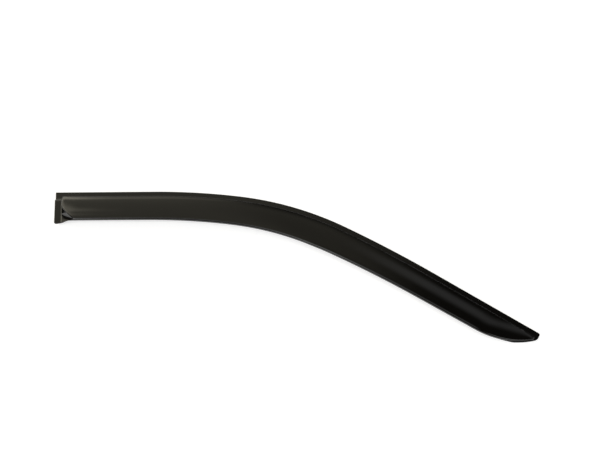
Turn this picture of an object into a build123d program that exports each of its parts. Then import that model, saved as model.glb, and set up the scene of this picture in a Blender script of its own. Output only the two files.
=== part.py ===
from build123d import *
import math
import os

# Window rain deflector for a right-hand front door, lying on its mounting tape with the outer face up.
# +X runs forward along the car, +Y up the door and +Z out from the glass.
# The origin is on the adhesive face of the top tape, where the centre lines of the two tapes cross.
# All sizes are in millimetres and all angles in degrees.

# Top edge: a straight rear run, three tangent arcs that turn it down, and a straight front run
REAR_RUN = 186.0
ENTRY_RADIUS = 1225.0
ENTRY_TURN = 8.0
BEND_RADIUS = 605.0
BEND_TURN = 20.0
EXIT_RADIUS = 2200.0
EXIT_TURN = 4.8
FRONT_RUN = 207.5

# Section across the deflector, measured down from the top edge and out from the glass
WALL = 3.0
FLANGE_WIDTH = 9.5
STEP_HEIGHT = 4.0
STEP_RUN = 1.6
STEP_EDGE_RADIUS = 2.0
BACK_EDGE = 0.2
BODY_WIDTH = 66.5
STAND_OFF = 22.0
LIP_RADIUS = 5.0
LIP_SKIRT = 1.0

# Front run, which narrows and comes in towards the glass
TAPER_LENGTH = 326.0
FRONT_WIDTH = 57.0
FRONT_STAND_OFF = 19.0

# Nose, where the lower edge sweeps up to the blunt tip and the lip comes down to a flat rim
NOSE_LENGTH = 104.0
NOSE_HEIGHT = 2.4
NOSE_STEP = 0.8
NOSE_LIP_RADIUS = 2.0
TIP_WIDTH = 12.5
TIP_FLANGE = 8.0
TIP_SOLID = 18.0
TIP_CORNER_RADIUS = 3.0
RIM_LENGTH = 40.0
RIM_WIDTH = 7.0
RIM_SHOW = 2.5

# Rear end: a leaning tab with a joggle, and a sloping wall that closes the air gap
TAB_WIDTH = 13.6
TAB_LENGTH = 68.5
TAB_LEAN = 8.0
TAB_RISE = 3.5
TAB_CORNER_RADIUS = 2.2
JOGGLE_START = 14.0
JOGGLE_RUN = 6.0
END_RUN_TOP = 2.5
END_RUN_MIDDLE = 8.5
END_RUN_LIP = 34.0
ROLL_OFF = 1.8
ROLL_OFF_LENGTH = 45.0

# Foam mounting tape
TAPE_THICKNESS = 1.1
TAPE_WIDTH = 8.0
TAB_TAPE_WIDTH = 11.0
TAPE_END_GAP = 2.0
TAPE_CORNER_RADIUS = 2.0

# Sections drawn along the body: at the rear end, along the middle and in the nose
REAR_SECTION_COUNT = 4
MIDDLE_SECTION_COUNT = 20
NOSE_SECTION_COUNT = 7

# Levels and lengths that follow from the sizes above
FLANGE_BOTTOM = TAPE_THICKNESS
FLANGE_TOP = FLANGE_BOTTOM + WALL
FOOT_LEVEL = FLANGE_BOTTOM + WALL / 2
TAB_TOP = FLANGE_TOP + TAB_RISE
EDGE_PIECES = [
    (REAR_RUN, None),
    (ENTRY_RADIUS * math.radians(ENTRY_TURN), ENTRY_RADIUS),
    (BEND_RADIUS * math.radians(BEND_TURN), BEND_RADIUS),
    (EXIT_RADIUS * math.radians(EXIT_TURN), EXIT_RADIUS),
    (FRONT_RUN, None),
]
EDGE_LENGTH = sum(length for length, radius in EDGE_PIECES)
NOSE_START = EDGE_LENGTH - NOSE_LENGTH
NOSE_DROP = FRONT_WIDTH - TIP_WIDTH
NOSE_RADIUS = (NOSE_LENGTH**2 + NOSE_DROP**2) / (2 * NOSE_DROP)
LEAN = math.tan(math.radians(TAB_LEAN))
TAB_HALF = TAB_WIDTH / 2 / math.cos(math.radians(TAB_LEAN))
MARGIN = 20.0


def top_edge(station):
    """Point and heading of the top edge, at a distance along it from the origin."""
    x = 0.0
    y = FLANGE_WIDTH / 2
    heading = 0.0
    left = station
    for length, radius in EDGE_PIECES:
        run = min(left, length)
        if radius is None:
            x += run * math.cos(heading)
            y += run * math.sin(heading)
        else:
            turned = heading - run / radius
            x += radius * (math.sin(heading) - math.sin(turned))
            y += radius * (math.cos(turned) - math.cos(heading))
            heading = turned
        left -= run
    return x, y, heading


def plan_point(station, depth):
    """Point of the plan, a depth below the top edge and square to it."""
    x, y, heading = top_edge(station)
    return x + depth * math.sin(heading), y - depth * math.cos(heading)


def follow(start, end, depth):
    """Lines and arcs that follow the top edge at one depth."""
    edges = []
    reached = 0.0
    for length, radius in EDGE_PIECES:
        first = max(start, reached) if edges else start
        last = min(end, reached + length)
        if last > first:
            ends = [plan_point(first, depth), plan_point(last, depth)]
            if radius is None:
                edges.append(Line(*ends))
            else:
                middle = plan_point((first + last) / 2, depth)
                edges.append(ThreePointArc(ends[0], middle, ends[1]))
        reached += length
    return edges


def ease(share):
    """Smooth rise from 0 to 1."""
    share = min(max(share, 0.0), 1.0)
    return share * share * (3 - 2 * share)


def plan_width(station):
    """Depth of the lower edge below the top edge."""
    into_nose = station - NOSE_START
    if into_nose > 0:
        return FRONT_WIDTH - NOSE_RADIUS + math.sqrt(NOSE_RADIUS**2 - into_nose**2)
    taper = max(0.0, 1 + into_nose / TAPER_LENGTH)
    return BODY_WIDTH + (FRONT_WIDTH - BODY_WIDTH) * taper


def section_sizes(station):
    """Width, step height, stand-off and lip radius of the body at a station."""
    nose = ease((station - NOSE_START) / (NOSE_LENGTH - TIP_FLANGE))
    taper = min(max(0.0, 1 + (station - NOSE_START) / TAPER_LENGTH), 1.0)
    rear = max(0.0, 1 - station / ROLL_OFF_LENGTH)
    along = STAND_OFF + (FRONT_STAND_OFF - STAND_OFF) * taper - ROLL_OFF * rear**2
    stand_off = along + (FLANGE_TOP + NOSE_HEIGHT - along) * nose
    step = STEP_HEIGHT + (NOSE_STEP - STEP_HEIGHT) * nose
    lip_radius = LIP_RADIUS + (NOSE_LIP_RADIUS - LIP_RADIUS) * nose
    width = plan_width(station) - RIM_SHOW * nose
    return width, step, stand_off, lip_radius


def section_plane(station):
    """Plane square to the top edge, with its first axis down the door and its second outwards."""
    x, y, heading = top_edge(station)
    return Plane(
        origin=(x, y, 0),
        x_dir=(math.sin(heading), -math.cos(heading), 0),
        z_dir=(-math.cos(heading), -math.sin(heading), 0),
    )


def outer_section(station):
    """Filled outline under the outer surface: step, convex face and rolled lip."""
    width, step, stand_off, lip_radius = section_sizes(station)
    step_top = (FLANGE_WIDTH + STEP_RUN, FLANGE_TOP + step)
    crest = (width - lip_radius, stand_off)
    lip = (width, stand_off - lip_radius)
    outline = make_face([
        Line((FLANGE_WIDTH, FOOT_LEVEL), (FLANGE_WIDTH, FLANGE_TOP)),
        Line((FLANGE_WIDTH, FLANGE_TOP), step_top),
        TangentArc(crest, step_top, tangent=(-1, 0)),
        TangentArc(crest, lip, tangent=(1, 0)),
        Line(lip, (width, FOOT_LEVEL)),
        Line((width, FOOT_LEVEL), (FLANGE_WIDTH, FOOT_LEVEL)),
    ])
    corner = outline.vertices().sort_by_distance(step_top)[0]
    return section_plane(station) * fillet(corner, STEP_EDGE_RADIUS)


def cavity_section(station):
    """Outline of the air gap one wall inside the outer surface, open below and under the lip."""
    width, step, stand_off, _ = section_sizes(station)
    crest_depth = width - LIP_RADIUS
    run = crest_depth - FLANGE_WIDTH - STEP_RUN
    rise = stand_off - FLANGE_TOP - step
    inner_radius = (run**2 + rise**2) / (2 * rise) - WALL
    step_depth = FLANGE_WIDTH + WALL + STEP_RUN
    step_level = stand_off - WALL - inner_radius + math.sqrt(inner_radius**2 - (crest_depth - step_depth)**2)
    crest = (crest_depth, stand_off - WALL)
    lip = (width - WALL, stand_off - LIP_RADIUS)
    lip_level = stand_off - LIP_RADIUS - LIP_SKIRT
    foot = (FLANGE_WIDTH + WALL, FLANGE_BOTTOM + BACK_EDGE)
    outline = make_face([
        Line((foot[0], -MARGIN), foot),
        Line(foot, (step_depth, step_level)),
        TangentArc(crest, (step_depth, step_level), tangent=(-1, 0)),
        TangentArc(crest, lip, tangent=(1, 0)),
        Line(lip, (lip[0], lip_level)),
        Line((lip[0], lip_level), (width + MARGIN, lip_level)),
        Line((width + MARGIN, lip_level), (width + MARGIN, -MARGIN)),
        Line((width + MARGIN, -MARGIN), (foot[0], -MARGIN)),
    ])
    return section_plane(station) * outline


def spread(start, end, count):
    """Evenly spaced stations after a start, up to an end."""
    return [start + (end - start) * k / count for k in range(1, count + 1)]


def stations(start, end):
    """Stations for the body's sections, closest at the rear end and in the nose."""
    rear = [start] + spread(start, ROLL_OFF_LENGTH, REAR_SECTION_COUNT)
    middle = spread(ROLL_OFF_LENGTH, NOSE_START, MIDDLE_SECTION_COUNT)
    return rear + middle + spread(NOSE_START, end, NOSE_SECTION_COUNT)


def crease_point(depth, run):
    """Plan point a run forward of the crease between the tab and the end wall."""
    y = FLANGE_WIDTH / 2 - depth
    return TAB_HALF - y * LEAN + run, y


def end_outline(level, side):
    """Plan of the space behind the rear end wall at one level, with the wall along one side."""
    top = side @ 0
    lip = side @ 1
    back = top.X - MARGIN - TAB_WIDTH
    far = lip.Y - MARGIN
    outline = make_face([
        side,
        Line(lip, (lip.X, far)),
        Line((lip.X, far), (back, far)),
        Line((back, far), (back, top.Y)),
        Line((back, top.Y), top),
    ])
    return Pos(0, 0, level) * outline


def end_space(thickness):
    """Space behind a surface that lies a thickness inside the outer surface of the end wall."""
    height = STAND_OFF - TAB_TOP
    top_shift = thickness * math.hypot(1, END_RUN_TOP / height)
    middle_shift = thickness * math.hypot(1, END_RUN_MIDDLE / height)
    lip_shift = thickness * math.hypot(1, END_RUN_LIP / height)
    lip_depth = BODY_WIDTH + LIP_RADIUS
    middle_depth = (FLANGE_WIDTH + lip_depth) / 2
    crease = Line(crease_point(FLANGE_WIDTH, top_shift), crease_point(lip_depth, lip_shift))
    shoulder = ThreePointArc(
        crease_point(FLANGE_WIDTH, END_RUN_TOP + top_shift),
        crease_point(middle_depth, END_RUN_MIDDLE + middle_shift),
        crease_point(lip_depth, END_RUN_LIP + lip_shift),
    )
    foot = end_outline(TAB_TOP, crease)
    slope = loft([foot, end_outline(STAND_OFF, shoulder)], ruled=True)
    return slope + extrude(foot, -TAB_TOP - MARGIN)


def body_shell():
    """Step, face, lip and rear end wall: the filled outer form less the air gap inside it."""
    start = crease_point(FLANGE_WIDTH, 0)[0] - TAB_WIDTH / 2
    nose_end = EDGE_LENGTH - TIP_FLANGE
    form = loft([outer_section(s) for s in stations(start, nose_end)]) - end_space(0)
    gap = loft([cavity_section(s) for s in stations(start, nose_end - TIP_SOLID)]) - end_space(WALL)
    return form - gap - tab_profile(FLANGE_BOTTOM - MARGIN, FLANGE_BOTTOM)


def nose_edge(inset, end):
    """Lower edge of the nose from the start of its rim, set in from the outline."""
    start = EDGE_LENGTH - RIM_LENGTH
    points = []
    for station in (start, (start + end) / 2, end):
        reach = math.sqrt((NOSE_RADIUS - inset)**2 - (station - NOSE_START)**2)
        points.append(plan_point(station, FRONT_WIDTH - NOSE_RADIUS + reach))
    return ThreePointArc(*points)


def flange_plate():
    """Flat flange along the top edge, which turns round the tip into the rim of the nose."""
    inner = FLANGE_WIDTH + WALL
    rim_start = EDGE_LENGTH - RIM_LENGTH
    hollow_end = EDGE_LENGTH - TIP_FLANGE - TIP_SOLID
    strip = make_face(
        follow(0, EDGE_LENGTH, 0)
        + follow(0, EDGE_LENGTH, inner)
        + [Line(plan_point(0, 0), plan_point(0, inner))]
        + [Line(plan_point(EDGE_LENGTH, 0), plan_point(EDGE_LENGTH, inner))]
    )
    outside = nose_edge(0, EDGE_LENGTH)
    nose = make_face([
        outside,
        Line(outside @ 1, plan_point(EDGE_LENGTH, 0)),
        Line(plan_point(EDGE_LENGTH, 0), plan_point(rim_start, 0)),
        Line(plan_point(rim_start, 0), outside @ 0),
    ])
    inside = nose_edge(RIM_WIDTH, hollow_end)
    hollow = make_face([
        inside,
        Line(inside @ 1, plan_point(hollow_end, inner)),
        Line(plan_point(hollow_end, inner), plan_point(rim_start, inner)),
        Line(plan_point(rim_start, inner), inside @ 0),
    ])
    plan = strip + (nose - hollow)
    tip_corners = plan.vertices().sort_by_distance(outside @ 1)[:1]
    tip_corners += plan.vertices().sort_by_distance(plan_point(EDGE_LENGTH, 0))[:1]
    return Pos(0, 0, FLANGE_BOTTOM) * extrude(fillet(tip_corners, TIP_CORNER_RADIUS), WALL)


def tab_profile(bottom, top):
    """Side view of the joggled tab between two levels at the flange, drawn out along X."""
    upper = FLANGE_WIDTH / 2
    ramp_start = upper - JOGGLE_START
    ramp_end = ramp_start - JOGGLE_RUN
    lower = upper - TAB_LENGTH - MARGIN
    side = make_face(Polyline(
        (upper, bottom),
        (ramp_start, bottom),
        (ramp_end, bottom + TAB_RISE),
        (lower, bottom + TAB_RISE),
        (lower, top + TAB_RISE),
        (ramp_end, top + TAB_RISE),
        (ramp_start, top),
        (upper, top),
        close=True,
    ))
    width = 2 * (TAB_WIDTH + END_RUN_LIP + MARGIN)
    return extrude(Plane.YZ * side, width / 2, both=True)


def tab_outline(rear, front, upper, lower):
    """Leaning plan between two heights on the door, with its sides square to the X axis at the origin."""
    return make_face(Polyline(
        (rear - upper * LEAN, upper),
        (front - upper * LEAN, upper),
        (front - lower * LEAN, lower),
        (rear - lower * LEAN, lower),
        close=True,
    ))


def rear_tab():
    """Leaning tab below the rear end of the flange, let into the end wall by half its thickness."""
    upper = FLANGE_WIDTH / 2
    outline = tab_outline(-TAB_HALF, TAB_HALF + WALL / 2, upper, upper - TAB_LENGTH)
    lower_corners = outline.vertices().sort_by(Axis.Y)[:2]
    prism = extrude(fillet(lower_corners, TAB_CORNER_RADIUS), TAB_TOP + MARGIN)
    return prism & tab_profile(FLANGE_BOTTOM, FLANGE_TOP)


def deflector_shell():
    """The whole moulding: flange, body and rear tab as one solid."""
    return flange_plate() + rear_tab() + body_shell()


def top_flange_tape():
    """Foam tape along the middle of the flange's back, from the rear end to the tip."""
    near = (FLANGE_WIDTH - TAPE_WIDTH) / 2
    far = near + TAPE_WIDTH
    start = TAPE_END_GAP - TAB_WIDTH / 2
    end = EDGE_LENGTH - TAPE_END_GAP
    strip = make_face(
        follow(start, end, near)
        + follow(start, end, far)
        + [Line(plan_point(start, near), plan_point(start, far))]
        + [Line(plan_point(end, near), plan_point(end, far))]
    )
    return extrude(strip, TAPE_THICKNESS)


def rear_tab_tape():
    """Foam tape on the back of the tab, on the flat below its joggle."""
    half = TAB_TAPE_WIDTH / 2 / math.cos(math.radians(TAB_LEAN))
    upper = FLANGE_WIDTH / 2 - JOGGLE_START - JOGGLE_RUN - TAPE_END_GAP
    lower = FLANGE_WIDTH / 2 - TAB_LENGTH + TAPE_END_GAP
    outline = fillet(tab_outline(-half, half, upper, lower).vertices(), TAPE_CORNER_RADIUS)
    return Pos(0, 0, TAB_RISE) * extrude(outline, TAPE_THICKNESS)


os.makedirs("parts", exist_ok=True)
export_step(deflector_shell(), "parts/deflector_shell.step")
export_step(top_flange_tape(), "parts/top_flange_tape.step")
export_step(rear_tab_tape(), "parts/rear_tab_tape.step")
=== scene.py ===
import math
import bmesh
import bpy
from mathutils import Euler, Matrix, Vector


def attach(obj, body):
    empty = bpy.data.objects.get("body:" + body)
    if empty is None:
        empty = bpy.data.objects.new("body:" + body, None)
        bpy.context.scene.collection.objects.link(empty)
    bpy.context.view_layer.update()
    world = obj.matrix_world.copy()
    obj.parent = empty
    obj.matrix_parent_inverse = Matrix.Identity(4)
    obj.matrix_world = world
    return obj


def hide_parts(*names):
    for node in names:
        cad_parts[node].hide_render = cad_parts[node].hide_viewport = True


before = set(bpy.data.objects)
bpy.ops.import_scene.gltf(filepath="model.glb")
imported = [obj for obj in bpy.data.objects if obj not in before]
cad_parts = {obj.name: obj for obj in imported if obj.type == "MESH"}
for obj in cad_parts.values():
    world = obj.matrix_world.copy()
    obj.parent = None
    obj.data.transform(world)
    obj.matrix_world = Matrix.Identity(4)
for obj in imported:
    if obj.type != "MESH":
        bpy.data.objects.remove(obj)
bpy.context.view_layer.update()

# %% [markdown]
# # A window rain deflector
# The real part is one sheet of smoke-tinted acrylic, warmed and drawn over a form, then trimmed.
# It is stuck to the door above the side glass with two strips of foam tape.
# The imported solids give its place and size, and everything below is drawn in their frame:
# X runs forward along the car, Y up the door and Z out from the glass. Lengths of the part are
# written in millimetres, and MM turns them into metres.

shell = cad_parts["deflector_shell"]
tapes = [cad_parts["top_flange_tape"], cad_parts["rear_tab_tape"]]
scene = bpy.context.scene
MM = 0.001

# %% [markdown]
# ## Colours and nodes
# Colours are picked as sRGB hex values, and shaders work in linear light, so one function turns
# the one into the other. A second one adds a node with its settings and links, and a third one
# starts an empty material.

# %% Three helpers for materials
def linear(code):
    """Linear colour of an sRGB hex value."""
    shares = [int(code[i:i + 2], 16) / 255 for i in (1, 3, 5)]
    return [s / 12.92 if s <= 0.04045 else ((s + 0.055) / 1.055) ** 2.4 for s in shares] + [1.0]


def add(tree, kind, settings=None, inputs=None):
    """A node of one kind with its properties, and its inputs by name or number, set or linked."""
    node = tree.nodes.new(kind)
    for name, value in (settings or {}).items():
        setattr(node, name, value)
    for name, value in (inputs or {}).items():
        socket = node.inputs[name]
        if isinstance(value, bpy.types.NodeSocket):
            tree.links.new(value, socket)
        else:
            socket.default_value = value
    return node


def new_material(name):
    """An empty node material and its tree."""
    material = bpy.data.materials.new(name)
    material.use_nodes = True
    material.node_tree.nodes.clear()
    return material, material.node_tree


print("mid grey in linear light", round(linear("#808080")[0], 3))

# %% [markdown]
# ## Smoke acrylic, drawn and polished
# The sheet is cast acrylic with a smoke tint: a warm olive black, with a skin as smooth as glass.
# Drawing it over a form leaves a faint long ripple, which bends the edges of reflections, and
# handling leaves the gloss a little uneven. Image textures could show this too, but they would
# need unwrapping, and noise in object coordinates keeps its size in millimetres all over.

# %% Smoke acrylic
CLOUD_SIZE, TOUCH_SIZE, RIPPLE_SIZE, RIPPLE_HEIGHT = 60.0, 25.0, 35.0, 0.3
ACRYLIC_IOR = 1.49
acrylic, tree = new_material("smoke_acrylic_drawn_polished")
place = add(tree, "ShaderNodeTexCoord").outputs["Object"]
cloud = add(tree, "ShaderNodeTexNoise", inputs={
    "Vector": place, "Scale": 1 / (CLOUD_SIZE * MM), "Detail": 2.0})
tint = add(tree, "ShaderNodeMix", {"data_type": "RGBA"}, {
    "Factor": cloud.outputs["Fac"], "A": linear("#080706"), "B": linear("#0b0a08")})
touch = add(tree, "ShaderNodeTexNoise", inputs={
    "Vector": place, "Scale": 1 / (TOUCH_SIZE * MM), "Detail": 3.0})
gloss = add(tree, "ShaderNodeMapRange", inputs={
    "Value": touch.outputs["Fac"], "From Min": 0.3, "From Max": 0.7, "To Min": 0.10, "To Max": 0.14})
ripple = add(tree, "ShaderNodeTexNoise", inputs={
    "Vector": place, "Scale": 1 / (RIPPLE_SIZE * MM), "Detail": 1.0})
bump = add(tree, "ShaderNodeBump", inputs={
    "Height": ripple.outputs["Fac"], "Strength": 0.02, "Distance": RIPPLE_HEIGHT * MM})
# The low roughness shows the studio as soft bands, and the tint only warms what lies between them.
skin = add(tree, "ShaderNodeBsdfPrincipled", inputs={
    "Base Color": tint.outputs["Result"], "Roughness": gloss.outputs["Result"],
    "Normal": bump.outputs["Normal"], "IOR": ACRYLIC_IOR})
add(tree, "ShaderNodeOutputMaterial", inputs={"Surface": skin.outputs["BSDF"]})
shell.data.materials.clear()
shell.data.materials.append(acrylic)
print("acrylic", len(tree.nodes), "nodes")

# %% [markdown]
# ## Sawn and scraped edge
# The drawn sheet is trimmed with a saw, and its edge is scraped but not polished. The fine marks
# scatter light, so the cut looks a shade greyer and duller than the skin beside it. Real marks are
# finer than a picture can show, so they are drawn 0.8 mm apart.

# %% Scraped edge
MARK_SIZE, MARK_DEPTH = 0.8, 0.05
scraped, tree = new_material("smoke_acrylic_sawn_scraped")
place = add(tree, "ShaderNodeTexCoord").outputs["Object"]
marks = add(tree, "ShaderNodeTexNoise", inputs={
    "Vector": place, "Scale": 1 / (MARK_SIZE * MM), "Detail": 4.0})
tint = add(tree, "ShaderNodeMix", {"data_type": "RGBA"}, {
    "Factor": marks.outputs["Fac"], "A": linear("#100f0d"), "B": linear("#24221f")})
bump = add(tree, "ShaderNodeBump", inputs={
    "Height": marks.outputs["Fac"], "Strength": 0.3, "Distance": MARK_DEPTH * MM})
# The high roughness spreads every reflection, so the cut edge reads as a matt line.
skin = add(tree, "ShaderNodeBsdfPrincipled", inputs={
    "Base Color": tint.outputs["Result"], "Roughness": 0.5,
    "Normal": bump.outputs["Normal"], "IOR": ACRYLIC_IOR})
add(tree, "ShaderNodeOutputMaterial", inputs={"Surface": skin.outputs["BSDF"]})
print("scraped edge", len(tree.nodes), "nodes")

# %% [markdown]
# ## Foam tape, slit
# The tapes are acrylic foam, grey and soft, slit from a wide roll. The knife opens the cells of
# the foam, so the surface is a fine pattern of pits. A cell pattern gives both the pits and a
# painted shade that darkens their middles. Real cells are about 0.1 mm wide, and they are drawn at
# 0.6 mm so that they show.

# %% Foam tape
CELL_SIZE, CELL_DEPTH = 0.6, 0.1
foam, tree = new_material("acrylic_foam_tape_slit")
place = add(tree, "ShaderNodeTexCoord").outputs["Object"]
cell_pits_and_painted_shade = add(tree, "ShaderNodeTexVoronoi", inputs={"Vector": place, "Scale": 1 / (CELL_SIZE * MM)})
# The tone darkens towards each cell's middle: painted shade in the pits that the bump below sinks.
tone = add(tree, "ShaderNodeMix", {"data_type": "RGBA"}, {
    "Factor": cell_pits_and_painted_shade.outputs["Distance"], "A": linear("#2a2a2c"), "B": linear("#4a4a4d")})
bump = add(tree, "ShaderNodeBump", inputs={
    "Height": cell_pits_and_painted_shade.outputs["Distance"], "Strength": 0.5, "Distance": CELL_DEPTH * MM})
# Rough and pitted, the foam stays matt beside the gloss of the sheet.
skin = add(tree, "ShaderNodeBsdfPrincipled", inputs={
    "Base Color": tone.outputs["Result"], "Normal": bump.outputs["Normal"], "Roughness": 0.75})
add(tree, "ShaderNodeOutputMaterial", inputs={"Surface": skin.outputs["BSDF"]})
for tape in tapes:
    tape.data.materials.clear()
    tape.data.materials.append(foam)
print("foam", len(tree.nodes), "nodes")

# %% [markdown]
# ## The drawn sheet
# On the real part one sheet makes the flange, the step, the convex face, the rolled lip, the
# sloping end wall and the tab. A solid's triangles are too coarse to mirror a studio cleanly, so
# the sheet is drawn again as a fine grid. Its rows run along the car and its columns across it.
# Geometry Nodes can sweep one section along a path, but here the section changes all the way and
# ends in a wall and a tab, so its points are worked out in plain code. The same grid is drawn
# twice, for the outside and one wall further in, and joined at the edges.

# %% The top edge that the rows follow
FLANGE, WALL, FLANGE_TOP = 9.5, 3.0, 4.1
REAR_RUN, FRONT_RUN = 186.0, 207.5
# Radius and angle, in degrees, of each bend between the two straight runs.
BENDS = [(1225.0, 8.0), (605.0, 20.0), (2200.0, 4.8)]
EDGE = [(REAR_RUN, None)] + [(r * math.radians(a), r) for r, a in BENDS] + [(FRONT_RUN, None)]
EDGE_LENGTH = sum(length for length, _ in EDGE)


def top_edge(station):
    """Point and heading of the top edge, at a distance along it."""
    x, y, heading, left = 0.0, FLANGE / 2, 0.0, station
    for length, radius in EDGE:
        run = min(left, length)
        if radius:
            turned = heading - run / radius
            x += radius * (math.sin(heading) - math.sin(turned))
            y += radius * (math.cos(turned) - math.cos(heading))
            heading = turned
        else:
            x += run * math.cos(heading)
            y += run * math.sin(heading)
        left -= run
    return x, y, heading


def space_point(station, depth, level):
    """Point in space, a depth below the top edge and a level above the glass."""
    x, y, heading = top_edge(station)
    return Vector((x + depth * math.sin(heading), y - depth * math.cos(heading), level))


print("top edge", round(EDGE_LENGTH, 1), "mm long")

# %% [markdown]
# The face rolls off a little at its rear end, keeps one section well into the bend, then narrows,
# and in the nose it comes down to the flange. There a smooth ease between 0 and 1 drives the
# change of height, step, lip and rim.

# %% Sizes of the section along the edge
STEP, STEP_RUN, STEP_ROUND, CREASE_ROUND = 4.0, 1.6, 0.5, 0.7
BODY_WIDTH, FRONT_WIDTH, TAPER = 66.5, 57.0, 326.0
STAND_OFF, FRONT_STAND_OFF = 22.0, 19.0
LIP, NOSE_LIP, LEAST_ROUND, SKIRT = 3.0, 2.0, 0.8, 3.0
NOSE, TIP_WIDTH, TIP_FLANGE, TIP_ROUND = 104.0, 12.5, 8.0, 3.0
NOSE_HEIGHT, NOSE_STEP, RIM, RIM_FROM, RIM_RUN = 2.4, 0.8, 2.5, 60.0, 30.0
ROLL_OFF, ROLL_RUN = 1.8, 45.0
NOSE_START, NOSE_END = EDGE_LENGTH - NOSE, EDGE_LENGTH - TIP_FLANGE
NOSE_DROP = FRONT_WIDTH - TIP_WIDTH
NOSE_RADIUS = (NOSE**2 + NOSE_DROP**2) / (2 * NOSE_DROP)


def ease(share):
    """Smooth rise from 0 to 1."""
    share = min(max(share, 0.0), 1.0)
    return share * share * (3 - 2 * share)


def mix(a, b, share):
    """Value or point between two others."""
    return a + (b - a) * share


def outline_depth(station):
    """Depth of the lower edge of the plan below the top edge."""
    into = station - NOSE_START
    if into > 0:
        return FRONT_WIDTH - NOSE_RADIUS + math.sqrt(NOSE_RADIUS**2 - into**2)
    return mix(BODY_WIDTH, FRONT_WIDTH, max(0.0, 1 + into / TAPER))


def section_sizes(station):
    """Width, step, stand-off and lip radius of the body, and how far its rim is turned out."""
    nose = ease((station - NOSE_START) / (NOSE_END - NOSE_START))
    taper = min(max(0.0, 1 + (station - NOSE_START) / TAPER), 1.0)
    rear = max(0.0, 1 - station / ROLL_RUN)
    along = mix(STAND_OFF, FRONT_STAND_OFF, taper) - ROLL_OFF * rear**2
    stand_off = mix(along, FLANGE_TOP + NOSE_HEIGHT, nose)
    width = outline_depth(station) - RIM * nose
    step, lip = mix(STEP, NOSE_STEP, nose), mix(LIP, NOSE_LIP, nose)
    rim = ease((station - EDGE_LENGTH + RIM_FROM) / RIM_RUN)
    return width, step, stand_off, lip, rim


print("nose from", round(NOSE_START, 1), "to", round(NOSE_END, 1), "mm")

# %% [markdown]
# A section is a line of points from the top edge to the lower one, made of straight runs, arcs
# and rounded corners. Each corner is a quadratic curve that has the corner as its control point,
# which is close to an arc for such small sizes and also works where two runs meet in space.

# %% Lines of a section
def bend(start, corner, end, count):
    """Points on a quadratic curve from start to end that is pulled towards a corner."""
    shares = [k / count for k in range(count + 1)]
    return [mix(mix(start, corner, share), mix(corner, end, share), share) for share in shares]


def straight(start, end, count):
    """Points from start to just before end."""
    return [mix(start, end, k / count) for k in range(count)]


def arc(centre, radius, first, last, count):
    """Points after the first one along an arc, with angles in radians."""
    angles = [mix(first, last, k / count) for k in range(1, count + 1)]
    return [centre + radius * Vector((math.cos(a), math.sin(a))) for a in angles]


print("a round corner", [tuple(p) for p in bend(Vector((0, 1)), Vector((0, 0)), Vector((1, 0)), 2)])

# %% [markdown]
# From the top edge down, the section has the flange, the crease at its foot, the step, the convex
# face, the lip, the skirt below it and, in the nose, a rim that turns out to lie on the door.
# The inner side takes the same steps one wall further in, so the wall keeps its thickness.

# %% One section of the sheet
ROWS = {"flange": 8, "corner": 6, "face": 32, "lip": 10, "skirt": 3, "rim": 3}


def section(station, inset):
    """Points (depth, level) of the outside, or of the surface one wall inside it."""
    body = min(station, NOSE_END)
    width, step, stand_off, lip, rim = section_sizes(body)
    base = FLANGE_TOP - inset
    radius_in = max(lip - WALL, LEAST_ROUND) if inset else lip
    crest = Vector((width - inset - radius_in, stand_off - inset))
    foot = Vector((min(FLANGE + inset, crest.x - 2 * STEP_RUN), base))
    # The face is an arc that is level at its crest and falls to the edge of the step.
    rise = stand_off - FLANGE_TOP - step
    face = ((width - lip - FLANGE - STEP_RUN)**2 + rise**2) / (2 * rise) - inset
    centre = Vector((crest.x, crest.y - face))
    ledge_depth = min(foot.x + STEP_RUN, crest.x - STEP_RUN)
    ledge = Vector((ledge_depth, centre.y + math.sqrt(face**2 - (crest.x - ledge_depth)**2)))
    climb = (ledge - foot).normalized()
    first = math.atan2(ledge.y - centre.y, ledge.x - centre.x) - STEP_ROUND / face
    after = centre + face * Vector((math.cos(first), math.sin(first)))
    points = straight(Vector((0, base)), foot - Vector((CREASE_ROUND, 0)), ROWS["flange"])
    points += bend(foot - Vector((CREASE_ROUND, 0)), foot, foot + climb * CREASE_ROUND, ROWS["corner"])
    points += bend(ledge - climb * STEP_ROUND, ledge, after, ROWS["corner"])
    points += arc(centre, face, first, math.pi / 2, ROWS["face"])
    points += arc(crest - Vector((0, radius_in)), radius_in, math.pi / 2, 0, ROWS["lip"])
    # The skirt hangs below the lip, and in the nose it swings out to become the rim.
    low = stand_off - lip
    knee = mix(Vector((width - inset, low - SKIRT / 2)), Vector((width - inset, base)), rim)
    end = mix(Vector((width - inset, low - SKIRT)), Vector((outline_depth(body), base)), rim)
    points += [mix(points[-1], knee, k / ROWS["skirt"]) for k in range(1, ROWS["skirt"] + 1)]
    points += [mix(knee, end, k / ROWS["rim"]) for k in range(1, ROWS["rim"] + 1)]
    # The tip has a form of its own, which the next step gives.
    if station > NOSE_END:
        points = tip_section(points, station, base)
    return points


ROW_COUNT = len(section(0.0, 0))
print("a section has", ROW_COUNT, "points")

# %% [markdown]
# The blunt tip is only the flat flange: behind it the last section of the nose is let down over
# a few millimetres, and at the very end both corners are drawn in to a small radius. There the
# rows spread out evenly, because the edge break needs room between them.

# %% The tip
TIP_FALL = 3.0


def tip_section(points, station, base):
    """The nose's last section let down to the flange, and drawn in at the tip's round corners."""
    fall = 1 - ease((station - NOSE_END) / TIP_FALL)
    into = max(0.0, station - EDGE_LENGTH + TIP_ROUND)
    inset = TIP_ROUND - math.sqrt(TIP_ROUND**2 - into**2)
    wide, last = outline_depth(station) - 2 * inset, len(points) - 1
    even = ease((station - NOSE_END - TIP_FALL) / (TIP_FLANGE - TIP_FALL))
    shares = [mix(p.x / points[-1].x, k / last, even) for k, p in enumerate(points)]
    return [Vector((inset + wide * share, mix(base, p.y, fall))) for share, p in zip(shares, points)]


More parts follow.
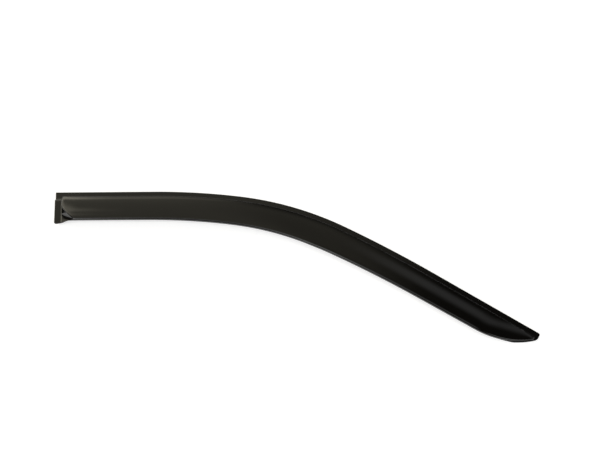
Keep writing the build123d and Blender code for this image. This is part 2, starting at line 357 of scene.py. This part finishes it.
print("tip", [tuple(round(c, 2) for c in section(EDGE_LENGTH, 0)[k]) for k in (0, -1)])

# %% [markdown]
# The rear end is where the rows leave the section. Each row comes off the face over a rounded
# shoulder, runs down the end wall to the crease, and crosses the tab to its rear edge.
# The wall is steep beside the flange and leans more towards the lip, so its run grows with depth.

# %% Rear end
TAB_WIDTH, TAB_LENGTH, TAB_RISE, TAB_ROUND = 13.6, 68.5, 3.5, 2.2
CREASE_LIFT = 1.6
LEAN = math.tan(math.radians(8.0))
TAB_HALF = TAB_WIDTH / 2 * math.hypot(1, LEAN)
JOGGLE, JOGGLE_RUN = 14.0, 6.0
TAB_TOP = FLANGE_TOP + TAB_RISE
WALL_RISE = STAND_OFF - TAB_TOP
END_RUNS = [(FLANGE, 2.5), ((FLANGE + BODY_WIDTH + LIP) / 2, 8.5), (BODY_WIDTH + LIP, 34.0)]
SHOULDER_ROUND, CREASE_BEND, LEAST_WALL = 2.6, 1.2, 0.9


def end_run(depth):
    """How far forward the end wall leans while it rises to the full stand-off, at one depth."""
    (d0, r0), (d1, r1), (d2, r2) = END_RUNS
    depth = max(depth, d0)
    return (
        r0 * (depth - d1) * (depth - d2) / ((d0 - d1) * (d0 - d2))
        + r1 * (depth - d0) * (depth - d2) / ((d1 - d0) * (d1 - d2))
        + r2 * (depth - d0) * (depth - d1) / ((d2 - d0) * (d2 - d1))
    )


def wall_x(depth, level, inset):
    """Place along the car of the end wall, or of its inner side, at one depth and level."""
    crease = TAB_HALF - (FLANGE / 2 - depth) * LEAN
    run = end_run(depth)
    return crease + inset * math.hypot(1, run / WALL_RISE) + run * (level - TAB_TOP) / WALL_RISE


def tab_level(depth):
    """Level of the tab's outside, which rises at the joggle."""
    return FLANGE_TOP + TAB_RISE * ease((depth - JOGGLE) / JOGGLE_RUN)


def tab_rear(depth):
    """Place of the tab's rear edge along the car, with its lower corner rounded."""
    into = max(0.0, TAB_ROUND - (TAB_LENGTH - depth))
    inset = TAB_ROUND - math.sqrt(max(TAB_ROUND**2 - into**2, 0.0))
    return -TAB_HALF - (FLANGE / 2 - depth) * LEAN + inset


print("end wall runs", [round(end_run(d), 1) for d in (10, 30, 50, 69)])

# %% [markdown]
# Where the end wall meets the face depends on the face's own height there, so the meeting point
# of each row is found by a few rounds of trial: take a station, read the level of the row in that
# section, and ask the wall where it has that level.

# %% Points of one row along the rear end
BODY_FROM = 75.0
REAR_COLUMNS = {"tab": 9, "bend": 6, "wall": 12, "body": 14}
TRIALS = 8


def rear_row(row, inset):
    """Points of one row from the tab's rear edge to where the body's plain stations begin."""
    flat = ROWS["flange"]
    plain = section(0.0, inset)
    station = TAB_HALF
    for _ in range(TRIALS):
        point = section(station, inset)[row]
        station = wall_x(point.x, point.y, inset)
    share = (row - flat) / (ROW_COUNT - 1 - flat)
    depth = plain[row].x if row <= flat else mix(plain[flat].x, TAB_LENGTH, share)
    level = tab_level(depth) - inset
    fold = depth - CREASE_LIFT * max(0.0, share)
    crease = Vector((wall_x(fold, level, inset), FLANGE / 2 - fold, level))
    least = LEAST_WALL + max(0.0, 1 - row / flat) * SHOULDER_ROUND
    station = max(station, crease.x + least)
    shoulder = space_point(station, *section(station, inset)[row])
    rear = Vector((tab_rear(depth), FLANGE / 2 - depth, level))
    # Neither of the two bends takes more than a third of the wall.
    down = (shoulder - crease).length
    soft = min(CREASE_BEND, down / 3)
    turn = min(SHOULDER_ROUND, down / 3)
    wall_low = mix(crease, shoulder, soft / down)
    wall_high = mix(shoulder, crease, turn / down)
    tab_end = crease - Vector((soft, 0, 0))
    onward = station + turn
    face = space_point(onward, *section(onward, inset)[row])
    points = straight(rear, tab_end, REAR_COLUMNS["tab"])
    points += bend(tab_end, crease, wall_low, REAR_COLUMNS["bend"])[:-1]
    points += straight(wall_low, wall_high, REAR_COLUMNS["wall"])
    points += bend(wall_high, shoulder, face, REAR_COLUMNS["bend"])[:-1]
    for k in range(REAR_COLUMNS["body"]):
        at = mix(onward, BODY_FROM, k / REAR_COLUMNS["body"])
        points.append(space_point(at, *section(at, inset)[row]))
    return points


print("columns at the rear end", len(rear_row(20, 0)))

# %% [markdown]
# Beyond the rear end the columns are plain sections. They lie close together in the nose and round
# the tip, where the section changes fast, and wider apart along the even runs.

# %% Both sides of the sheet
BODY_STEP, NOSE_STEPS, FALL_STEPS, TIP_STEPS = 7.0, 44, 6, 4


def body_stations():
    """Stations of the plain sections, from the rear end to the tip."""
    count = round((NOSE_START - BODY_FROM) / BODY_STEP)
    fall_end = NOSE_END + TIP_FALL
    at = [mix(BODY_FROM, NOSE_START, k / count) for k in range(count)]
    at += [mix(NOSE_START, NOSE_END, k / NOSE_STEPS) for k in range(NOSE_STEPS)]
    at += [mix(NOSE_END, fall_end, k / FALL_STEPS) for k in range(FALL_STEPS)]
    turns = [math.pi / 2 * k / TIP_STEPS for k in range(TIP_STEPS + 1)]
    return at + [mix(fall_end, EDGE_LENGTH, math.sin(turn)) for turn in turns]


def sheet_side(inset):
    """Grid of points of one side of the sheet, as a list of rows."""
    plain = [(s, section(s, inset)) for s in body_stations()]
    return [
        rear_row(row, inset) + [space_point(s, *points[row]) for s, points in plain]
        for row in range(ROW_COUNT)
    ]


print("plain sections", len(body_stations()))

# %% [markdown]
# The two grids are joined into one closed mesh. The strip of faces between them is the cut edge,
# so it takes the scraped finish.

# %% The sheet as a mesh
def sheet_mesh(name):
    """Closed mesh of the sheet: both sides, and the strip that joins them round the edge."""
    sides = [sheet_side(0), sheet_side(WALL)]
    rows, columns = len(sides[0]), len(sides[0][0])
    vertices = [p * MM for side in sides for row in side for p in row]

    def index(side, row, column):
        """Number of one grid point among all vertices."""
        return (side * rows + row) * columns + column

    faces = []
    for r in range(rows - 1):
        for c in range(columns - 1):
            ring = [(r, c), (r + 1, c), (r + 1, c + 1), (r, c + 1)]
            faces.append([index(0, *at) for at in ring])
            faces.append([index(1, *at) for at in reversed(ring)])
    skin_faces = len(faces)
    rim = [(0, c) for c in range(columns)] + [(r, columns - 1) for r in range(1, rows)]
    rim += [(rows - 1, c) for c in range(columns - 2, -1, -1)] + [(r, 0) for r in range(rows - 2, 0, -1)]
    edges = []
    for a, b in zip(rim, rim[1:] + rim[:1]):
        faces.append([index(0, *a), index(0, *b), index(1, *b), index(1, *a)])
        edges += [(index(0, *a), index(0, *b)), (index(1, *a), index(1, *b))]
    mesh = bpy.data.meshes.new(name)
    mesh.from_pydata(vertices, [], faces)
    for face in mesh.polygons:
        face.material_index = int(face.index >= skin_faces)
    return mesh, edges


mesh, trimmed = sheet_mesh("drawn_sheet")
print("sheet", len(mesh.vertices), "points,", len(mesh.polygons), "faces")

# %% [markdown]
# The edges round the cut are marked for the bevel that comes next. Where the nose has just come
# down flat, a few points fall together, so points that share a place are made one.

# %% Marked edges and shared points
SAME_POINT = 0.002
weights = mesh.attributes.new("bevel_weight_edge", "FLOAT", "EDGE")
cut = {frozenset(edge) for edge in trimmed}
for edge in mesh.edges:
    if frozenset(edge.vertices) in cut:
        weights.data[edge.index].value = 1.0
joined = bmesh.new()
joined.from_mesh(mesh)
bmesh.ops.remove_doubles(joined, verts=joined.verts, dist=SAME_POINT * MM)
joined.to_mesh(mesh)
joined.free()
marked = sum(weight.value > 0 for weight in mesh.attributes["bevel_weight_edge"].data)
print("joined sheet", len(mesh.vertices), "points,", marked, "edges to break")

# %% [markdown]
# The trimmed edges are broken with a small bevel, because the edge of a cut sheet is never sharp
# and always shows a thin line of light. The bevel is made into plain mesh here, and the smooth
# shading stops at the cut so that the edge stays crisp.

# %% The finished sheet
EDGE_BREAK, BREAK_STEPS = 0.15, 3
CRISP = math.radians(40)
rough = bpy.data.objects.new("rough_sheet", mesh)
scene.collection.objects.link(rough)
breaking = rough.modifiers.new("edge_break", "BEVEL")
breaking.limit_method = "WEIGHT"
breaking.width = EDGE_BREAK * MM
breaking.segments = BREAK_STEPS
breaking.use_clamp_overlap = False
graph = bpy.context.evaluated_depsgraph_get()
finished = bpy.data.meshes.new_from_object(rough.evaluated_get(graph))
bpy.data.objects.remove(rough)
finished.name = "drawn_sheet_finished"
finished.shade_smooth()
finished.set_sharp_from_angle(angle=CRISP)
finished.materials.clear()
for material in (acrylic, scraped):
    finished.materials.append(material)
sheet = bpy.data.objects.new("drawn_sheet", finished)
scene.collection.objects.link(sheet)
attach(sheet, "root")
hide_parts("deflector_shell")
print("finished sheet", len(finished.polygons), "faces")

# %% [markdown]
# ## The top tape
# The long tape is pulled off a roll and pressed along the middle of the flange, so it is one
# small section carried along a path. Geometry Nodes do the same: a rectangle with its edges a
# little rounded is swept along the flange's middle line. Its width, thickness and rounding are
# inputs of the tree, so another roll of tape needs no new modelling.

# %% A tape on a path
def tape_tree(name):
    """Node tree that sweeps a tape's section along the edges of a mesh."""
    tree = bpy.data.node_groups.new(name, "GeometryNodeTree")
    for title, kind in (("Path", "Geometry"), ("Width", "Float"), ("Thickness", "Float"),
                        ("Edge Round", "Float"), ("Finish", "Material")):
        tree.interface.new_socket(title, in_out="INPUT", socket_type="NodeSocket" + kind)
    tree.interface.new_socket("Tape", in_out="OUTPUT", socket_type="NodeSocketGeometry")
    given = add(tree, "NodeGroupInput").outputs
    path = add(tree, "GeometryNodeMeshToCurve", inputs={"Mesh": given["Path"]})
    level = add(tree, "GeometryNodeSetCurveNormal", {"mode": "Z_UP"}, {"Curve": path.outputs["Curve"]})
    outline = add(tree, "GeometryNodeCurvePrimitiveQuadrilateral", inputs={
        "Width": given["Width"], "Height": given["Thickness"]})
    rounded = add(tree, "GeometryNodeFilletCurve", {"mode": "POLY"}, {
        "Curve": outline.outputs["Curve"], "Count": 3, "Radius": given["Edge Round"]})
    swept = add(tree, "GeometryNodeCurveToMesh", inputs={
        "Curve": level.outputs["Curve"], "Profile Curve": rounded.outputs["Curve"], "Fill Caps": True})
    real = add(tree, "GeometryNodeRealizeInstances", inputs={"Geometry": swept.outputs["Mesh"]})
    dressed = add(tree, "GeometryNodeSetMaterial", inputs={
        "Geometry": real.outputs["Geometry"], "Material": given["Finish"]})
    add(tree, "NodeGroupOutput", inputs={"Tape": dressed.outputs["Geometry"]})
    return tree


sweep = tape_tree("tape_on_path")
print("tape tree", len(sweep.nodes), "nodes")

# %% [markdown]
# The path is the flange's middle line, half a tape's thickness above the glass, and it stops a
# little short of both ends, as a hand-laid strip does. The swept tape is then kept as plain mesh.

# %% The top tape
TAPE_THICKNESS = FLANGE_TOP - WALL
TAPE_WIDTH, TAPE_GAP, TAPE_STEP, TAPE_ROUND = 8.0, 2.0, 6.0, 0.15
first, last = TAPE_GAP - TAB_WIDTH / 2, EDGE_LENGTH - TAPE_GAP
count = round((last - first) / TAPE_STEP)
line = [
    space_point(mix(first, last, k / count), FLANGE / 2, TAPE_THICKNESS / 2) * MM
    for k in range(count + 1)
]
path_mesh = bpy.data.meshes.new("tape_path")
path_mesh.from_pydata(line, [(k, k + 1) for k in range(count)], [])
path = bpy.data.objects.new("tape_path", path_mesh)
scene.collection.objects.link(path)
pressing = path.modifiers.new("tape", "NODES")
pressing.node_group = sweep
wanted = {
    "Width": TAPE_WIDTH * MM, "Thickness": TAPE_THICKNESS * MM,
    "Edge Round": TAPE_ROUND * MM, "Finish": foam,
}
for socket in sweep.interface.items_tree:
    if socket.name in wanted:
        pressing[socket.identifier] = wanted[socket.name]
tape_mesh = bpy.data.meshes.new_from_object(path.evaluated_get(bpy.context.evaluated_depsgraph_get()))
bpy.data.objects.remove(path)
tape_mesh.name = "top_tape"
tape_mesh.shade_smooth()
tape_mesh.set_sharp_from_angle(angle=CRISP)
top_tape = bpy.data.objects.new("top_tape", tape_mesh)
scene.collection.objects.link(top_tape)
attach(top_tape, "root")
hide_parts("top_flange_tape")
spans = [[pick(v.co[i] for v in tape_mesh.vertices) / MM for pick in (min, max)] for i in range(3)]
print("top tape", len(tape_mesh.polygons), "faces, mm", [[round(c, 2) for c in span] for span in spans])

# %% [markdown]
# ## Floor
# A product shot stands on white paper. The paper is matt with a faint grain and takes the light
# of the room, so the shadow stays, and a share of plain white is added for rays that come straight
# from the camera or off a glossy surface. That whitens the picture and what the part mirrors, and
# scatters no more light onto the part.
# The paper runs 200 m to each side, so that a low view does not see its end.

# %% The floor
FLOOR_HALF = 200.0
floor_mesh = bpy.data.meshes.new("floor")
floor_mesh.from_pydata([
    (-FLOOR_HALF, -FLOOR_HALF, 0), (FLOOR_HALF, -FLOOR_HALF, 0),
    (FLOOR_HALF, FLOOR_HALF, 0), (-FLOOR_HALF, FLOOR_HALF, 0),
], [], [(0, 1, 2, 3)])
floor = bpy.data.objects.new("floor", floor_mesh)
scene.collection.objects.link(floor)
print("floor", 2 * FLOOR_HALF, "m wide")

# %% [markdown]
# Light Path tells which rays look at the paper. Those from the camera, from glossy surfaces and
# through clear ones get the added white, and the rays that gather scattered light do not.

# %% White paper
GRAIN_SIZE, ADDED_WHITE = 4.0, 0.62
paper, tree = new_material("white_paper_matt")
ray = add(tree, "ShaderNodeLightPath").outputs
mirrored = add(tree, "ShaderNodeMath", {"operation": "MAXIMUM"}, {
    0: ray["Is Glossy Ray"], 1: ray["Is Transmission Ray"]})
seen = add(tree, "ShaderNodeMath", {"operation": "MAXIMUM"}, {
    0: ray["Is Camera Ray"], 1: mirrored.outputs["Value"]})
share = add(tree, "ShaderNodeMath", {"operation": "MULTIPLY"}, {0: seen.outputs["Value"], 1: ADDED_WHITE})
white = add(tree, "ShaderNodeEmission", inputs={
    "Color": linear("#ffffff"), "Strength": share.outputs["Value"]})
place = add(tree, "ShaderNodeTexCoord").outputs["Object"]
grain = add(tree, "ShaderNodeTexNoise", inputs={
    "Vector": place, "Scale": 1 / (GRAIN_SIZE * MM), "Detail": 3.0})
tone = add(tree, "ShaderNodeMix", {"data_type": "RGBA"}, {
    "Factor": grain.outputs["Fac"], "A": linear("#c4c4c2"), "B": linear("#cccccb")})
# Matt fibres scatter light evenly, so the paper shows a soft shadow and no gloss.
fibre = add(tree, "ShaderNodeBsdfDiffuse", inputs={"Color": tone.outputs["Result"]})
both = add(tree, "ShaderNodeAddShader", inputs={0: fibre.outputs["BSDF"], 1: white.outputs["Emission"]})
add(tree, "ShaderNodeOutputMaterial", inputs={"Surface": both.outputs["Shader"]})
floor_mesh.materials.append(paper)
print("paper", len(tree.nodes), "nodes")

# %% [markdown]
# ## Studio light
# Polished black acrylic has hardly any colour of its own: what shows is the room that it mirrors.
# Lamps that stand close are mirrored at another angle from each end of so long a part, so the
# studio is drawn on the world, far away, as a dark room with soft panels. Each panel is given by
# the azimuth it covers, from the back of the scene towards +X, by its elevation, by how many
# degrees it takes to fade at its sides, by its brightness, where 1 shows as full white, and by
# its colour.

# %% One panel of the studio
WARM, WHITE = linear("#fff9e3")[:3], linear("#ffffff")[:3]


def with_panel(tree, room, angles, spans, soft, brightness, colour):
    """The room's light, with one more panel that fades smoothly at its four sides."""
    mask = 1.0
    for angle, (low, high), fade in zip(angles, spans, soft):
        for side, inner in ((low, low + fade), (high, high - fade)):
            step = add(tree, "ShaderNodeMapRange", {"interpolation_type": "SMOOTHSTEP"}, {
                "Value": angle, "From Min": side, "From Max": inner})
            mask = add(tree, "ShaderNodeMath", {"operation": "MULTIPLY"}, {
                0: mask, 1: step.outputs["Result"]}).outputs["Value"]
    light = [brightness * c for c in colour]
    lit = add(tree, "ShaderNodeVectorMath", {"operation": "MULTIPLY_ADD"}, {0: light, 1: mask, 2: room})
    return lit.outputs["Vector"]


print("warm panel colour", [round(c, 3) for c in WARM])

# %% [markdown]
# The large panels stand behind the part and to the rear, where the camera sees them mirrored in
# the face. The low strips draw the bright line along the step, and the two bands at the right
# carry the sheen on down the nose. Two keys at the sides and a panel overhead light the scene
# without being mirrored towards the camera: they stand high, so that a low view still shows the
# part as black. A pale far wall closes the horizon for those views. ROUND is past any azimuth, so
# a panel that reaches it has no side there.

# %% The panels
ROOM, ROUND = 0.015, 999
PANELS = {
    "back_left": ((-75, 6), (4, 85), (22, 10), 0.51, WARM),
    "back_middle": ((-16, 36), (5, 80), (22, 18), 0.31, WARM),
    "right_band": ((16, 48), (19, 54), (16, 15), 0.38, WHITE),
    "nose_band": ((32, 66), (23, 54), (16, 15), 0.36, WHITE),
    "rear_low": ((-75, -26.5), (8, 47), (6, 7), 1.2, WARM),
    "rear_high": ((-75, -33), (40, 54.5), (8, 6), 1.3, WARM),
    "left_low": ((-71, -50), (18, 46), (6, 8), 3.4, WARM),
    "low_strip": ((-66, 4), (3, 15), (22, 5), 0.65, WARM),
    "low_rear": ((-66, -19), (3, 15), (6, 5), 1.6, WARM),
    "overhead": ((-ROUND, ROUND), (70, 120), (1, 10), 1.3, WHITE),
    "left_key": ((-148, -92), (26, 76), (10, 16), 5.0, WHITE),
    "right_key": ((98, 142), (22, 68), (10, 14), 3.2, WHITE),
    "horizon": ((-ROUND, ROUND), (-2, 3.5), (1, 1.5), 0.95, WHITE),
    "far_wall_right": ((62, ROUND), (0, 10), (12, 3), 0.9, WHITE),
    "far_wall_left": ((-ROUND, -112), (0, 10), (12, 3), 0.9, WHITE),
}
print("panels", list(PANELS))

# %% [markdown]
# The world is seen along a direction, so its azimuth and elevation come from that direction's
# three parts. The panels are added one after the other to the faint grey of the room.

# %% The studio
scene.view_settings.view_transform = "Standard"
world = bpy.data.worlds.new("studio")
scene.world = world
world.use_nodes = True
tree = world.node_tree
towards = add(tree, "ShaderNodeSeparateXYZ", inputs={
    "Vector": add(tree, "ShaderNodeTexCoord").outputs["Generated"]})
turn = add(tree, "ShaderNodeMath", {"operation": "ARCTAN2"}, {
    0: towards.outputs["X"], 1: towards.outputs["Y"]})
climb = add(tree, "ShaderNodeMath", {"operation": "ARCSINE"}, {0: towards.outputs["Z"]})
angles = [
    add(tree, "ShaderNodeMath", {"operation": "DEGREES"}, {0: angle.outputs["Value"]}).outputs["Value"]
    for angle in (turn, climb)
]
room = add(tree, "ShaderNodeCombineXYZ", inputs={"X": ROOM, "Y": ROOM, "Z": ROOM}).outputs["Vector"]
for azimuth, elevation, soft, brightness, colour in PANELS.values():
    room = with_panel(tree, room, angles, (azimuth, elevation), soft, brightness, colour)
tree.links.new(room, tree.nodes["Background"].inputs["Color"])
print("studio", len(tree.nodes), "nodes")

# %% [markdown]
# ## Camera
# The camera stands where the photograph was taken from, found by fitting the part's outline: the
# eye is about 1.1 m away, in front of the lower edge, and looks down at 66 degrees. A camera could
# be aimed with a constraint, but the fit also gives a small roll, so its turns about X, Y and Z are
# written out, in degrees from looking straight down.

# %% Camera
EYE, TURNS = Vector((507.5, -534.3, 1038.0)), (24.111, 1.735, 0.405)
LENS, SENSOR = 36.0, 36.0
camera = bpy.data.objects.new("camera", bpy.data.cameras.new("camera"))
aim = Euler([math.radians(turn) for turn in TURNS])
camera.matrix_world = Matrix.LocRotScale(EYE * MM, aim, None)
camera.data.lens = LENS
camera.data.sensor_width = SENSOR
scene.collection.objects.link(camera)
scene.camera = camera
print("camera", [round(c, 3) for c in camera.location], "m")
